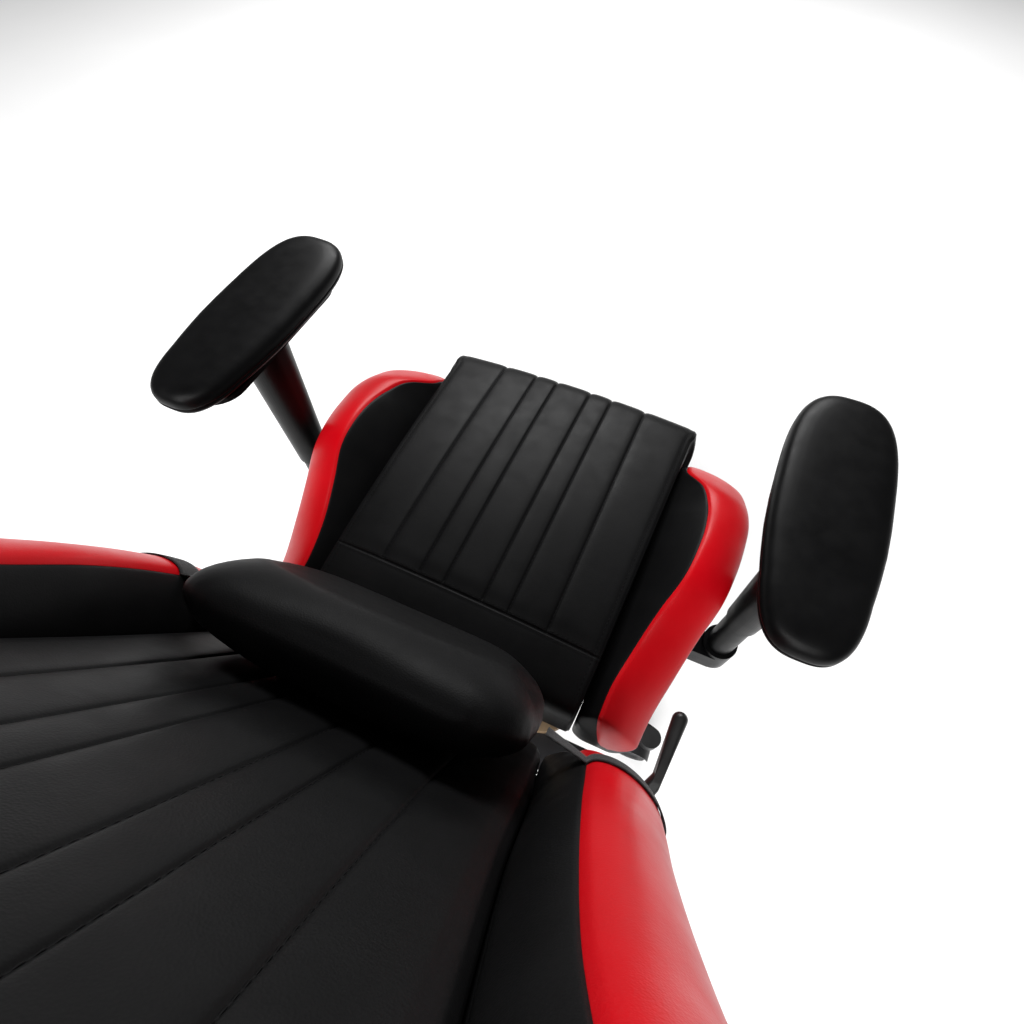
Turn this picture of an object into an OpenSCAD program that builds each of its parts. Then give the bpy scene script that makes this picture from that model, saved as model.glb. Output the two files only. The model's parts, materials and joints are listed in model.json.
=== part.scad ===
// Racing-style swivel chair: five-star base on twin-wheel casters, gas lift, tilt
// mechanism, bolstered seat, height-adjustable armrests and a reclining backrest.
// +Z up, +Y towards the back of the chair, origin on the floor under the lift column.

/* [Base] */
// Distance from the column to each caster's swivel axis
base_r = 310; // [280:5:340]
// Turn of the star about the column, with one leg at this angle from +X
base_turn = 90; // [0:1:90]
// Caster wheel diameter
wheel_d = 60; // [50:1:60]
// Width of one caster wheel
wheel_w = 17; // [14:1:18]
// Turn of each caster about its own stem
caster_turn = 200; // [0:5:355]

/* [Lift] */
// Outer diameter of the lift's fixed tube
tube_d = 50; // [46:1:50]
// Outer diameter of the lift's moving cylinder
cylinder_d = 28; // [26:1:28]
// Height of the star's hub above the floor
hub_top = 137; // [130:1:145]

/* [Seat] */
// Height of the seat's surface above the floor, lowest setting
seat_h = 480; // [475:1:490]
// Half width of the seat's middle cushion at its front
cushion_half = 182; // [176:1:182]
// Front end of the middle cushion, ahead of the column
cushion_front = 247; // [244:1:250]
// Rear end of the middle cushion, behind the column
cushion_rear = 203; // [195:1:203]

/* [Armrests] */
// Distance from the middle of the chair to each armrest column
arm_x = 313; // [311:1:315]
// Armrest pad length
pad_len = 280; // [260:2:290]
// Armrest pad width
pad_wid = 100; // [90:2:106]
// Height of the armrest column's lower post above the floor
post_low = 320; // [320:1:328]

/* [Backrest] */
// Lean of the backrest from upright, as stored
back_lean = 22; // [15:1:25]
// Height of the lumbar pillow's lower edge above the hinge
lumbar_z = 72; // [70:1:90]
// Half width of the lumbar pillow
lumbar_half = 152; // [140:1:152]

/* [Hidden] */
$fn = 48;

// Clearance between pieces that turn or slide on each other
run = 0.1;
// Clearance around soft pieces
soft = 0.3;
axle_z = wheel_d / 2;
hood_top = 70;
// Horizontal distance from a caster's stem to its axle
trail = 18;
// Half thickness of the hood's web between the wheels
web_half = 8;
stem_r = 5.5;
axle_r = 4;
leg_under = 73;
hub_under = 62;

// Tilt mechanism
mech_under = 285;
plate_t = 4;
rail_z = seat_h - 118;
board_z = rail_z + 4;
board_t = 14;
// Distance of the seat bolts from the middle
bolt_x = 76;
pivot_y = -85;
pivot_z = 334;
spring_y = -116;

// Armrests: arm_y is how far the columns stand behind the middle
arm_y = -8;
cup_low = 276;
post_top = 625;
sleeve_low = 408;
sleeve_top = 640;
plate_z = 646;
pad_high = 672;

// Backrest hinge, and depths in the backrest's own frame
hinge_y = 265;
hinge_z = seat_h - 35;
face_y = -52;
rod_r = 7;

// ------------------------------------------------------------------ shared shapes

// Rounded plan outline, w by l, corner radius r
module rounded(w, l, r) {
    hull()
        for (x = [-1, 1], y = [-1, 1])
            translate([x * (w / 2 - r), y * (l / 2 - r)]) circle(r, $fn = 32);
}

// A straight round bar from point a to point b
module bar(a, b, r) {
    v = b - a;
    d = norm(v);
    translate(a)
        rotate([0, acos(v.z / d), atan2(v.y, v.x)]) cylinder(h = d, r = r);
}

// Bars along a route, with a ball at each inner point
module bent_bar(route, r) {
    for (i = [1 : len(route) - 1]) bar(route[i - 1], route[i], r);
    for (i = [1 : len(route) - 2]) translate(route[i]) sphere(r + 0.6);
}

// A bar along X, centred on x = 0
module cross_bar(length, r) {
    rotate([0, 90, 0]) cylinder(h = length, r = r, center = true);
}

// Both sides of the chair
module both_sides() {
    children();
    mirror([1, 0, 0]) children();
}

// Drawn for the sitter's left, +X, or mirrored for the sitter's right
module side(s) {
    if (s > 0) children();
    else mirror([1, 0, 0]) children();
}

// The backrest's own frame: origin on the hinge, Z up the back
module on_back() {
    translate([0, hinge_y, hinge_z]) rotate([-back_lean, 0, 0]) children();
}

// A bolt with a round head below, point up, head's top at z = 0
module bolt(r, length) {
    cylinder(h = length, r = r);
    translate([0, 0, -5]) cylinder(h = 5, r = r * 1.8, $fn = 24);
}

// Oval outline: a half circle of radius r at each end of a straight part
module oval(r, straight) {
    square([2 * r, straight], center = true);
    for (s = [-1, 1]) translate([0, s * straight / 2]) circle(r);
}

// A closed skin through a list of rings with equal numbers of points
module loft(rings) {
    n = len(rings[0]);
    m = len(rings);
    skin = [for (i = [0 : m - 2], k = [0 : n - 1]) let (j = (k + 1) % n)
        [i * n + k, i * n + j, (i + 1) * n + j, (i + 1) * n + k]];
    caps = [[for (k = [n - 1 : -1 : 0]) k], [for (k = [0 : n - 1]) (m - 1) * n + k]];
    polyhedron([for (r = rings) each r], concat(skin, caps), convexity = 8);
}

// Domed outline from x0 to x1 on a flat base, rising to top; points run from x1 to x0
function dome(x0, x1, base, top, n = 14) = concat(
    [for (k = [0 : n]) let (a = 180 * k / n, c = cos(a))
        [(x0 + x1) / 2 + (x1 - x0) / 2 * sign(c) * pow(abs(c), 0.7),
         base + (top - base) * pow(sin(a), 0.6)]]);

// Value at t from a table of [t, value] rows, straight between rows
function along(t, table) = lookup(t, table);

// ------------------------------------------------------------------ base and casters

leg_angles = [for (i = [0 : 4]) base_turn + 72 * i];

// Height of the leg's top surface at distance r from the column
function leg_top(r) = 92 + 30 * pow(1 - (r - 36) / (base_r + 14 - 36), 1.5);

module leg() {
    intersection() {
        rotate([90, 0, 0])
            linear_extrude(60, center = true)
                polygon(concat(
                    [[20, hub_under + 3], [base_r, leg_under], [base_r + 14, leg_under]],
                    [for (i = [0 : 10]) let (r = base_r + 14 - i * (base_r - 22) / 10)
                        [r, leg_top(r)]],
                    [[20, leg_top(36)]]
                ));
        linear_extrude(300)
            polygon([[20, -20], [base_r - 4, -13], [base_r - 4, 13], [20, 20]]);
    }
    translate([base_r, 0, leg_under - 0.5]) cylinder(h = 22, r = 17);
}

module base_star() {
    color([0.07, 0.07, 0.07])
    difference() {
        union() {
            translate([0, 0, hub_under]) cylinder(h = hub_top - hub_under, r1 = 44, r2 = 37);
            for (a = leg_angles) rotate([0, 0, a]) leg();
        }
        translate([0, 0, hub_under - 1]) cylinder(h = 90, r = tube_d / 2 + run);
        for (a = leg_angles)
            rotate([0, 0, a])
                translate([base_r, 0, leg_under - 1]) cylinder(h = 17, r = stem_r + run);
    }
}

module at_caster(i) {
    rotate([0, 0, leg_angles[i - 1]])
        translate([base_r, 0, 0]) rotate([0, 0, caster_turn]) children();
}

module caster_stems() {
    color([0.55, 0.55, 0.57])
    for (i = [1 : 5]) at_caster(i) {
        translate([0, 0, 46]) cylinder(h = 42, r = stem_r);
        translate([0, 0, hood_top + 0.8]) cylinder(h = 1.4, r = 9);
    }
}

module hood_fender() {
    intersection() {
        rotate([90, 0, 0])
            difference() {
                cylinder(h = 2 * (web_half + wheel_w + 3), r = axle_z + 4.5, center = true);
                cylinder(h = 80, r = axle_z + 2, center = true);
            }
        translate([-30, -40, 6]) cube([80, 80, 60]);
    }
}

module caster_hood(i) {
    color([0.05, 0.05, 0.05])
    at_caster(i)
        difference() {
            union() {
                translate([trail, 0, axle_z]) {
                    rotate([90, 0, 0]) cylinder(h = 2 * web_half, r = 24, center = true);
                    hood_fender();
                }
                translate([0, 0, 42]) cylinder(h = hood_top - 42, r = web_half);
                translate([-web_half, -web_half, 40]) cube([trail + web_half, 2 * web_half, 22]);
                translate([0, 0, 61]) cylinder(h = hood_top - 61, r = 13);
            }
            translate([0, 0, 44]) cylinder(h = 40, r = stem_r + run);
            translate([trail, 0, axle_z])
                rotate([90, 0, 0]) cylinder(h = 80, r = axle_r + run, center = true);
        }
}

module wheel() {
    rotate_extrude($fn = 64)
        polygon([
            [axle_r + run, 0], [axle_z - 4, 0], [axle_z, 4], [axle_z, wheel_w - 5],
            [axle_z - 5, wheel_w], [16, wheel_w], [14, wheel_w - 3], [axle_r + run, wheel_w - 3]
        ]);
}

module caster_wheels(i) {
    color([0.12, 0.12, 0.12])
    at_caster(i)
        translate([trail, 0, axle_z]) {
            for (s = [-1, 1])
                rotate([-90 * s, 0, 0]) translate([0, 0, web_half + 1]) wheel();
            rotate([90, 0, 0])
                cylinder(h = 2 * (web_half + wheel_w - 2.5), r = axle_r, center = true);
        }
}

// ------------------------------------------------------------------ lift column

module column_tube() {
    color([0.08, 0.08, 0.08])
    difference() {
        translate([0, 0, 58]) cylinder(h = 202, r = tube_d / 2);
        translate([0, 0, 66]) cylinder(h = 200, r = cylinder_d / 2 + run);
        translate([0, 0, 50]) cylinder(h = 30, r = 5 + run);
    }
}

module piston_rod() {
    color([0.7, 0.7, 0.72]) {
        translate([0, 0, 50]) cylinder(h = 190, r = 5);
        translate([0, 0, 54])
            difference() {
                cylinder(h = 3, r = 11);
                translate([0, 0, -1]) cylinder(h = 5, r = 5 + run);
            }
    }
}

module column_cylinder() {
    color([0.65, 0.65, 0.67])
    difference() {
        translate([0, 0, 100]) cylinder(h = 224, r = cylinder_d / 2);
        translate([0, 0, 99]) cylinder(h = 219, r = 10);
    }
}

module cover(z, h, r) {
    color([0.06, 0.06, 0.06])
    translate([0, 0, z])
        difference() {
            cylinder(h = h, r = r);
            translate([0, 0, -1]) cylinder(h = h + 2, r = r - 1.5);
        }
}

module cover_lower() { cover(hub_top, 80, tube_d / 2 + 10); }
module cover_mid() { cover(hub_top + 28, 85, tube_d / 2 + 6.7); }
module cover_upper() { cover(mech_under - 80, 80, tube_d / 2 + 3.4); }

// ------------------------------------------------------------------ tilt mechanism

module mech_side_outline() {
    polygon([[-100, 298], [-100, 343], [-62, 343], [50, 320], [50, mech_under + 6],
        [38, mech_under], [-60, mech_under]]);
}

module mech_housing() {
    color([0.10, 0.10, 0.11])
    difference() {
        union() {
            difference() {
                rotate([90, 0, 90]) linear_extrude(120, center = true) mech_side_outline();
                translate([-57, -97, mech_under + 18]) cube([114, 44, 80]);
                translate([-57, -54, mech_under + 3]) cube([114, 101, 80]);
            }
            translate([-24, -136, 298]) cube([48, 40, 5]);
            translate([0, 0, mech_under]) cylinder(h = 35, r = 22);
        }
        translate([0, 0, mech_under - 1]) cylinder(h = 60, r = cylinder_d / 2 + run);
        translate([0, pivot_y, pivot_z]) cross_bar(200, 6 + run);
        translate([0, spring_y, 280]) cylinder(h = 40, r = 6);
        translate([-60, -44, 326]) cross_bar(20, 6.5);
    }
}

module tilt_pin() {
    color([0.6, 0.6, 0.62])
    translate([0, pivot_y, pivot_z]) {
        cross_bar(144, 6);
        for (s = [-1, 1]) translate([s * 69.5, 0, 0]) cross_bar(5, 9);
    }
}

// Points of one ring of the spring's wire at turn angle a
function coil_ring(a, radius, wire, pitch, sides) = [
    for (k = [0 : sides - 1]) let (b = 360 * k / sides, q = radius + wire * cos(b))
        [q * cos(a), q * sin(a), pitch * a / 360 + wire * sin(b)]
];

module coil(radius, wire, pitch, turns) {
    loft([for (i = [0 : 16 * turns]) coil_ring(i * 22.5, radius, wire, pitch, 8)]);
}

module tension_spring() {
    color([0.45, 0.45, 0.47])
    translate([0, spring_y, 263.2]) coil(15, 2.4, 7.9, 4);
}

module tension_bolt() {
    color([0.6, 0.6, 0.62])
    translate([0, spring_y, 0]) {
        translate([0, 0, 236]) cylinder(h = 134, r = 5);
        translate([0, 0, rail_z + 0.4]) cylinder(h = 5, r = 9);
        translate([0, 0, 258]) cylinder(h = 2.5, r = 20);
    }
}

module tension_knob() {
    color([0.05, 0.05, 0.05])
    translate([0, spring_y, 0])
        difference() {
            union() {
                translate([0, 0, 228]) cylinder(h = 4, r1 = 21, r2 = 25);
                translate([0, 0, 232]) cylinder(h = 25, r = 25);
                for (a = [0 : 30 : 330])
                    rotate([0, 0, a]) translate([24.5, 0, 233]) cylinder(h = 23, r = 3, $fn = 16);
            }
            translate([0, 0, 235]) cylinder(h = 30, r = 5 + run);
        }
}

module lever_rod() {
    color([0.55, 0.55, 0.57])
    bent_bar([[-6, -4, 333], [-46, -44, 331], [-60, -44, 326], [-200, -44, 314]], 4);
}

module lever_grip() {
    color([0.05, 0.05, 0.05])
    difference() {
        hull() {
            translate([-184, -44, 315]) sphere(7, $fn = 32);
            translate([-238, -58, 311]) sphere(7, $fn = 32);
            translate([-238, -33, 311]) sphere(7, $fn = 32);
        }
        bar([-150, -44, 318.29], [-204, -44, 313.66], 4);
    }
}

// ------------------------------------------------------------------ seat

module seat_plate() {
    color([0.10, 0.10, 0.11])
    difference() {
        union() {
            translate([-85, -132, rail_z - plate_t]) cube([170, 258, plate_t]);
            for (s = [-1, 1])
                translate([s * 64 - 2, pivot_y - 16, pivot_z - 14])
                    cube([4, 32, rail_z - pivot_z + 12]);
        }
        translate([0, pivot_y, pivot_z]) cross_bar(200, 6 + run);
        for (x = [-bolt_x, bolt_x], y = [-100, 100])
            translate([x, y, 300]) cylinder(h = 80, r = 4 + run);
        translate([-6.5, spring_y - 13, 340]) cube([13, 20, 40]);
    }
}

module seat_rails() {
    color([0.10, 0.10, 0.11])
    difference() {
        for (y = [-100, 0, 100])
            translate([-248, y - 20, rail_z]) cube([496, 40, 4]);
        for (x = [-bolt_x, bolt_x], y = [-100, 100])
            translate([x, y, 300]) cylinder(h = 80, r = 4 + run);
        for (x = [-140, -200, 140, 200])
            translate([x, 0, 300]) cylinder(h = 80, r = 4 + run);
        translate([-14, spring_y - 22, rail_z - 1]) cube([28, 40, 10]);
    }
}

module seat_board() {
    color([0.45, 0.33, 0.2])
    difference() {
        translate([0, -4, board_z]) linear_extrude(board_t) rounded(324, 430, 40);
        for (x = [-bolt_x, bolt_x], y = [-100, 100])
            translate([x, y, 300]) cylinder(h = 76, r = 4 + run);
        translate([-14, spring_y - 22, board_z - 1]) cube([28, 40, 12]);
    }
}

module seat_bolts() {
    color([0.55, 0.55, 0.57]) {
        for (x = [-bolt_x, bolt_x], y = [-100, 100])
            translate([x, y, rail_z - plate_t]) bolt(4, 16);
        for (x = [-140, -200, 140, 200])
            translate([x, 0, rail_z - plate_t]) bolt(4, 8);
    }
}

// Gap between the middle cushion's sides and the bolsters
seam_gap = 1.2;
// How far the middle cushion is crowned above its side edges
crown = 9;
// Half width of the middle cushion, a little less towards the back
function seat_half(y) = cushion_half - (y + 229) * 0.042;

// Height of the middle cushion's surface along its centre line
function seat_top(y) = seat_h + crown + along(y, [[-247, -46], [-244, -38], [-238, -32], [-229, -28],
    [-200, -23.7], [-150, -17], [-100, -11.5], [-50, -7], [0, -3.6], [60, -1], [130, 0],
    [170, -2], [190, -6], [199, -12], [203, -22]]);

function cushion_ring(y, half, top, low) = [
    [-half + 8, y, low], [-half, y, low + 8], [-half, y, top - 22], [-half + 2, y, top - 14],
    [-half + 8, y, top - crown], for (k = [-5 : 5]) [k * half / 6, y, top - crown * k * k / 36],
    [half - 8, y, top - crown], [half - 2, y, top - 14], [half, y, top - 22],
    [half, y, low + 8], [half - 8, y, low]
];

module seat_cushion() {
    low = board_z + board_t + soft;
    front = cushion_front;
    stations = [-front, -front + 3, -front + 9, -229, -200, -150, -100, -50, 0, 60, 130, 170,
        cushion_rear - 13, cushion_rear - 4, cushion_rear];
    shrink = [14, 8, 3, 0, 0, 0, 0, 0, 0, 0, 0, 0, 2, 6, 12];
    color([0.06, 0.06, 0.06])
    loft([for (i = [0 : len(stations) - 1]) let (y = stations[i])
        cushion_ring(y, seat_half(y) - shrink[i], seat_top(y),
            low + shrink[i] / 2)]);
}

// Bolster stations: y, inner seam x and height, crest height, outer seam x and height
bolster = [
    [-209, 191, -84, -82, 206, -88], [-203, 193, -72, -68, 215, -77],
    [-182, 197, -44, -38, 239, -48], [-155, 204, -16, -10, 260, -26],
    [-125, 213, 4, 10, 272, -15], [-95, 222, 14, 21, 278, -8], [-60, 226, 24, 30, 279, -5],
    [-20, 225, 30, 35, 277, -4], [20, 220, 28, 33, 272, -10], [60, 210, 18, 21, 261, -22],
    [110, 199, 1, 2, 248, -41], [160, 195, -5, -5, 239, -57], [190, 194, -10, -10, 236, -62],
    [200, 193, -24, -22, 230, -68]
];

function bolster_ring(s) = let (y = s[0], low = rail_z + 4 + soft, wall = seat_half(y) + seam_gap,
    out = s[4], high = seat_h + s[5]) [
    [wall + 2, y, low], [out - 14, y, low], [out - 5, y, low + 10], [out, y, (high + low) / 2],
    [out, y, high], [out - (out - s[1]) * 0.16, y, (high + seat_h + s[3]) / 2 + 5],
    [(s[1] + out) / 2, y, seat_h + s[3]], [s[1], y, seat_h + s[2]],
    [(s[1] + wall) / 2, y, seat_h + s[2] - (s[1] - wall) * 0.55],
    [wall, y, min(seat_h - 42, seat_h + s[2] - 8)], [wall, y, low + 4]
];

module seat_bolster(s) {
    color([0.65, 0.03, 0.05]) side(s) loft([for (b = bolster) bolster_ring(b)]);
}
module seat_bolster_left() { seat_bolster(1); }
module seat_bolster_right() { seat_bolster(-1); }

// ------------------------------------------------------------------ armrests

module arm_elbow(s) {
    color([0.07, 0.07, 0.07])
    side(s)
        difference() {
            union() {
                translate([arm_x, arm_y, cup_low]) linear_extrude(post_low - cup_low) oval(23, 3);
                translate([226, -17, cup_low]) cube([arm_x - 226, 34, 36]);
                translate([226, -17, cup_low]) cube([24, 34, rail_z - cup_low]);
                translate([118, -20, rail_z - plate_t]) cube([132, 40, plate_t]);
            }
            for (x = [140, 200])
                translate([x, 0, 300]) cylinder(h = 80, r = 4 + run);
        }
}
module arm_elbow_left() { arm_elbow(1); }
module arm_elbow_right() { arm_elbow(-1); }

module arm_posts() {
    color([0.05, 0.05, 0.05])
    both_sides()
        translate([arm_x, arm_y, post_low]) {
            linear_extrude(3) oval(16, 3);
            translate([0, 0, 3]) linear_extrude(post_top - post_low - 3) oval(17.5, 3);
        }
}

module arm_sleeve(s) {
    color([0.06, 0.06, 0.06])
    side(s)
        difference() {
            translate([arm_x, arm_y, 0]) union() {
                hull() {
                    translate([0, 0, sleeve_low]) linear_extrude(4) oval(20.5, 3);
                    translate([0, 0, sleeve_top - 8]) linear_extrude(8) oval(25, 12);
                }
                translate([0, 0, sleeve_top]) cylinder(h = 4, r = 14);
            }
            translate([arm_x, arm_y, sleeve_low - 1])
                linear_extrude(post_top - sleeve_low + 8) oval(17.5 + run, 3);
            translate([arm_x + 18, arm_y - 7 - run, 585 - run]) cube([20, 14 + 2 * run, 26 + 2 * run]);
        }
}
module arm_sleeve_left() { arm_sleeve(1); }
module arm_sleeve_right() { arm_sleeve(-1); }

module arm_button(s) {
    color([0.2, 0.2, 0.2]) side(s) translate([arm_x + 21.4, arm_y - 7, 585]) cube([6.6, 14, 26]);
}
module arm_button_left() { arm_button(1); }
module arm_button_right() { arm_button(-1); }

module pad_plate(s) {
    color([0.08, 0.08, 0.08])
    side(s)
        difference() {
            translate([arm_x - pad_in, pad_y, sleeve_top + 0.3])
                linear_extrude(plate_z - sleeve_top - 0.3) rounded(76, 220, 34);
            translate([arm_x, arm_y, sleeve_top - 1]) cylinder(h = 5.3, r = 14 + run);
        }
}
module pad_plate_left() { pad_plate(1); }
module pad_plate_right() { pad_plate(-1); }

// Middle of the pad, ahead of the armrest column and inwards from it
pad_y = -4;
pad_in = 13;
// The pad's width narrows by this share over its rear part
function pad_share(y) = 1 - 0.11 * min(1, max(0, (y - 15) / 60));

// One level of the pad: the plan outline drawn in from its full size by d
function pad_ring(z, d, n = 48) = [
    for (k = [0 : n - 1])
        let (a = 360 * k / n, c = cos(a), s = sin(a),
            y = (pad_len / 2 - d) * sign(s) * pow(abs(s), 0.5))
            [(pad_wid / 2 - d) * pad_share(y) * sign(c) * pow(abs(c), 0.72), y, z]
];

module arm_pad(s) {
    color([0.05, 0.05, 0.05])
    side(s)
        translate([arm_x - pad_in, pad_y, 0])
            loft([pad_ring(plate_z, 9), pad_ring(plate_z + 5, 2), pad_ring(plate_z + 12, 0),
                pad_ring(plate_z + 18, 3), pad_ring(plate_z + 22, 9), pad_ring(plate_z + 25, 20),
                pad_ring(pad_high, 36)]);
}
module arm_pad_left() { arm_pad(1); }
module arm_pad_right() { arm_pad(-1); }

// ------------------------------------------------------------------ recliner

module recliner_brackets() {
    color([0.10, 0.10, 0.11])
    both_sides()
        difference() {
            union() {
                translate([120, 203.5, rail_z]) cube([80, 43, 4]);
                translate([196, 0, 0])
                    rotate([90, 0, 90]) linear_extrude(4)
                        hull() {
                            translate([203.5, rail_z]) square([43, 4]);
                            translate([hinge_y, hinge_z]) circle(22, $fn = 32);
                        }
            }
            translate([0, hinge_y, hinge_z]) cross_bar(500, rod_r + run);
        }
}

module hinge_covers() {
    color([0.05, 0.05, 0.05])
    both_sides()
        difference() {
            translate([207, hinge_y, hinge_z]) rotate([0, 90, 0]) {
                cylinder(h = 16, r = 36);
                translate([0, 0, 16]) cylinder(h = 4, r1 = 36, r2 = 31);
            }
            translate([0, hinge_y, hinge_z]) cross_bar(500, rod_r + run);
        }
}

module recline_rod() {
    color([0.6, 0.6, 0.62])
    translate([-4, hinge_y, hinge_z]) cross_bar(472, rod_r);
}

module recline_lever() {
    color([0.05, 0.05, 0.05])
    translate([0, hinge_y, hinge_z])
        difference() {
            union() {
                translate([-236, 0, 0]) cross_bar(14, 15);
                hull() {
                    translate([-238, 0, 0]) cross_bar(8, 12);
                    translate([-258, -44, 14]) cross_bar(8, 9);
                }
                hull() {
                    translate([-258, -44, 14]) cross_bar(8, 9);
                    translate([-262, -108, 26]) sphere(8, $fn = 32);
                }
            }
            translate([-203, 0, 0]) cross_bar(74, rod_r);
        }
}

// ------------------------------------------------------------------ backrest

// Half width of the whole backrest, and of its middle cushion, by height above the hinge
function back_half(z) = along(z, [[45, 226], [60, 234], [150, 244], [280, 240], [400, 252],
    [500, 268], [560, 272], [610, 262], [660, 232], [710, 196], [760, 174], [800, 162],
    [825, 148], [838, 128]]);
function middle_half(z) = along(z, [[20, 146], [150, 150], [300, 150], [450, 158], [560, 162],
    [640, 142], [720, 116], [790, 104], [826, 92]]);
back_rows = [45, 60, 105, 150, 215, 280, 340, 400, 450, 500, 560, 610, 660, 710, 760, 800,
    825, 838];

module back_outline(inset, low) {
    polygon(concat(
        [for (z = back_rows) [back_half(z) - inset, max(low, min(z, 838 - inset))]],
        [for (i = [len(back_rows) - 1 : -1 : 0]) let (z = back_rows[i])
            [inset - back_half(z), max(low, min(z, 838 - inset))]]));
}

// A plan outline in the backrest's X and Z, made into a slab from y0 to y0 + depth
module slab(y0, depth) {
    translate([0, y0, 0]) rotate([90, 0, 0]) mirror([0, 0, 1]) linear_extrude(depth) children();
}

module hoop_outline(inset) {
    w = 202 - inset;
    polygon([[-w, 56], [-w, 565 - inset / 2], [-118 + inset * 0.7, 812 - inset],
        [118 - inset * 0.7, 812 - inset], [w, 565 - inset / 2], [w, 56]]);
}

module back_frame() {
    color([0.10, 0.10, 0.11])
    on_back() {
        slab(1, 16)
            difference() {
                hoop_outline(0);
                difference() {
                    translate([0, -1]) hoop_outline(16);
                    for (z = [70, 430]) translate([-200, z]) square([400, 16]);
                }
            }
        both_sides()
            difference() {
                translate([202, 0, 0]) rotate([90, 0, 90]) linear_extrude(4)
                    union() {
                        hull() {
                            circle(20, $fn = 32);
                            translate([1, 34]) square([16, 4]);
                        }
                        translate([1, 36]) square([16, 126]);
                    }
                cross_bar(500, rod_r + run);
            }
    }
}

// Back cushion: front face at face_y, flat behind
function back_ring(z, dx, dy) = let (h = middle_half(z) - dx) [
    for (p = dome(-h, h, 2, -face_y - dy)) [p.x, -p.y, z]
];

module back_cushion() {
    color([0.06, 0.06, 0.06])
    on_back()
        loft([back_ring(20, 14, 22), back_ring(24, 6, 10), back_ring(34, 2, 3),
            for (z = [60 : 60 : 780]) back_ring(z, 0, 0), back_ring(808, 2, 4),
            back_ring(820, 6, 12), back_ring(826, 14, 26)]);
}

// Backrest bolster: rows of height, drawn-in amount, and how far it stands forward
back_bolster_rows = [[46, 24, 40], [52, 12, 52], [66, 4, 62], [105, 0, 76], [150, 0, 88],
    [215, 0, 96], [280, 0, 96], [340, 0, 88], [400, 0, 84], [450, 0, 90], [500, 0, 100],
    [560, 0, 106], [610, 0, 98], [660, 0, 84], [710, 0, 72], [760, 2, 64], [800, 8, 54],
    [822, 14, 44], [832, 20, 34]];

function back_bolster_ring(r, grow = 0) = let (z = r[0], a = middle_half(min(z, 800)) + 0.8,
    b = max(back_half(z), a + 34)) [
    for (p = dome(a + r[1] * 0.5 - grow, b - r[1] * 0.6 + grow, 1, r[2] + grow)) [p.x, -p.y, z]
];

module back_bolster(s) {
    color([0.65, 0.03, 0.05])
    side(s) on_back() loft([for (r = back_bolster_rows) back_bolster_ring(r)]);
}
module back_bolster_left() { back_bolster(1); }
module back_bolster_right() { back_bolster(-1); }

module back_panel() {
    color([0.05, 0.05, 0.05])
    on_back()
        difference() {
            slab(0, 32) back_outline(0, 45);
            slab(-1, 20) back_outline(5, 30);
        }
}

function lumbar_ring(x, h, d) = [
    for (k = [0 : 31]) let (a = 360 * k / 32, c = cos(a), s = sin(a))
        [x, -85.5 - d * sign(c) * pow(abs(c), 0.8), lumbar_z + 105 + h * sign(s) * pow(abs(s), 0.7)]
];

module lumbar_pillow() {
    w = lumbar_half;
    color([0.04, 0.04, 0.04])
    on_back()
        intersection() {
            loft([lumbar_ring(-w, 60, 10), lumbar_ring(-w + 4, 78, 18), lumbar_ring(-w + 14, 94, 26),
                lumbar_ring(-w + 34, 103, 33), lumbar_ring(-w + 70, 105, 36), lumbar_ring(0, 105, 37),
                lumbar_ring(w - 70, 105, 36), lumbar_ring(w - 34, 103, 33),
                lumbar_ring(w - 14, 94, 26), lumbar_ring(w - 4, 78, 18), lumbar_ring(w, 60, 10)]);
            translate([-200, -200, 0]) cube([400, 200 + face_y - soft, 400]);
        }
}

// Elastic strap: over both side bolsters and across the rear panel
strap_z = 177;

module pillow_strap() {
    w = back_half(strap_z);
    inner = concat([[w + 1, -33]], [for (p = dome(146, w + 1, 1, 94, 18)) if (p.x > 158) p]);
    outer = concat([[w + 2.5, -34.5]],
        [for (p = dome(144.5, w + 2.5, 1, 95.5, 18)) if (p.x > 158) p]);
    color([0.03, 0.03, 0.03])
    on_back()
        translate([0, 0, strap_z - 15])
            linear_extrude(30) {
                for (s = [-1, 1]) scale([s, -1])
                    polygon(concat(outer, [for (i = [len(inner) - 1 : -1 : 0]) inner[i]]));
                translate([-w - 2.5, 33]) square([2 * w + 5, 1.5]);
            }
}

// ------------------------------------------------------------------ what is drawn

base_star();
caster_stems();
column_tube();
cover_lower();
caster_hood(1);  // caster_hood_1
caster_hood(2);  // caster_hood_2
caster_hood(3);  // caster_hood_3
caster_hood(4);  // caster_hood_4
caster_hood(5);  // caster_hood_5
caster_wheels(1);  // caster_wheels_1
caster_wheels(2);  // caster_wheels_2
caster_wheels(3);  // caster_wheels_3
caster_wheels(4);  // caster_wheels_4
caster_wheels(5);  // caster_wheels_5
piston_rod();
cover_mid();
column_cylinder();
cover_upper();
mech_housing();
tilt_pin();
tension_spring();
tension_bolt();
tension_knob();
lever_rod();
lever_grip();
seat_plate();
seat_rails();
seat_board();
seat_bolts();
seat_cushion();
seat_bolster_left();
seat_bolster_right();
arm_elbow_left();
arm_elbow_right();
arm_posts();
arm_sleeve_left();
arm_sleeve_right();
arm_button_left();
arm_button_right();
pad_plate_left();
pad_plate_right();
arm_pad_left();
arm_pad_right();
recliner_brackets();
hinge_covers();
recline_rod();
recline_lever();
back_frame();
back_cushion();
back_bolster_left();
back_bolster_right();
back_panel();
lumbar_pillow();
pillow_strap();
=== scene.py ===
"""Looks for a racing-style swivel chair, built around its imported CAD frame.

Every new piece is a surface worked out with numpy on a grid of two parameters, in metres, in the chair's
own frame: +Z up, -Y the way the sitter faces, +X the sitter's left.
"""

import json
import math

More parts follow.
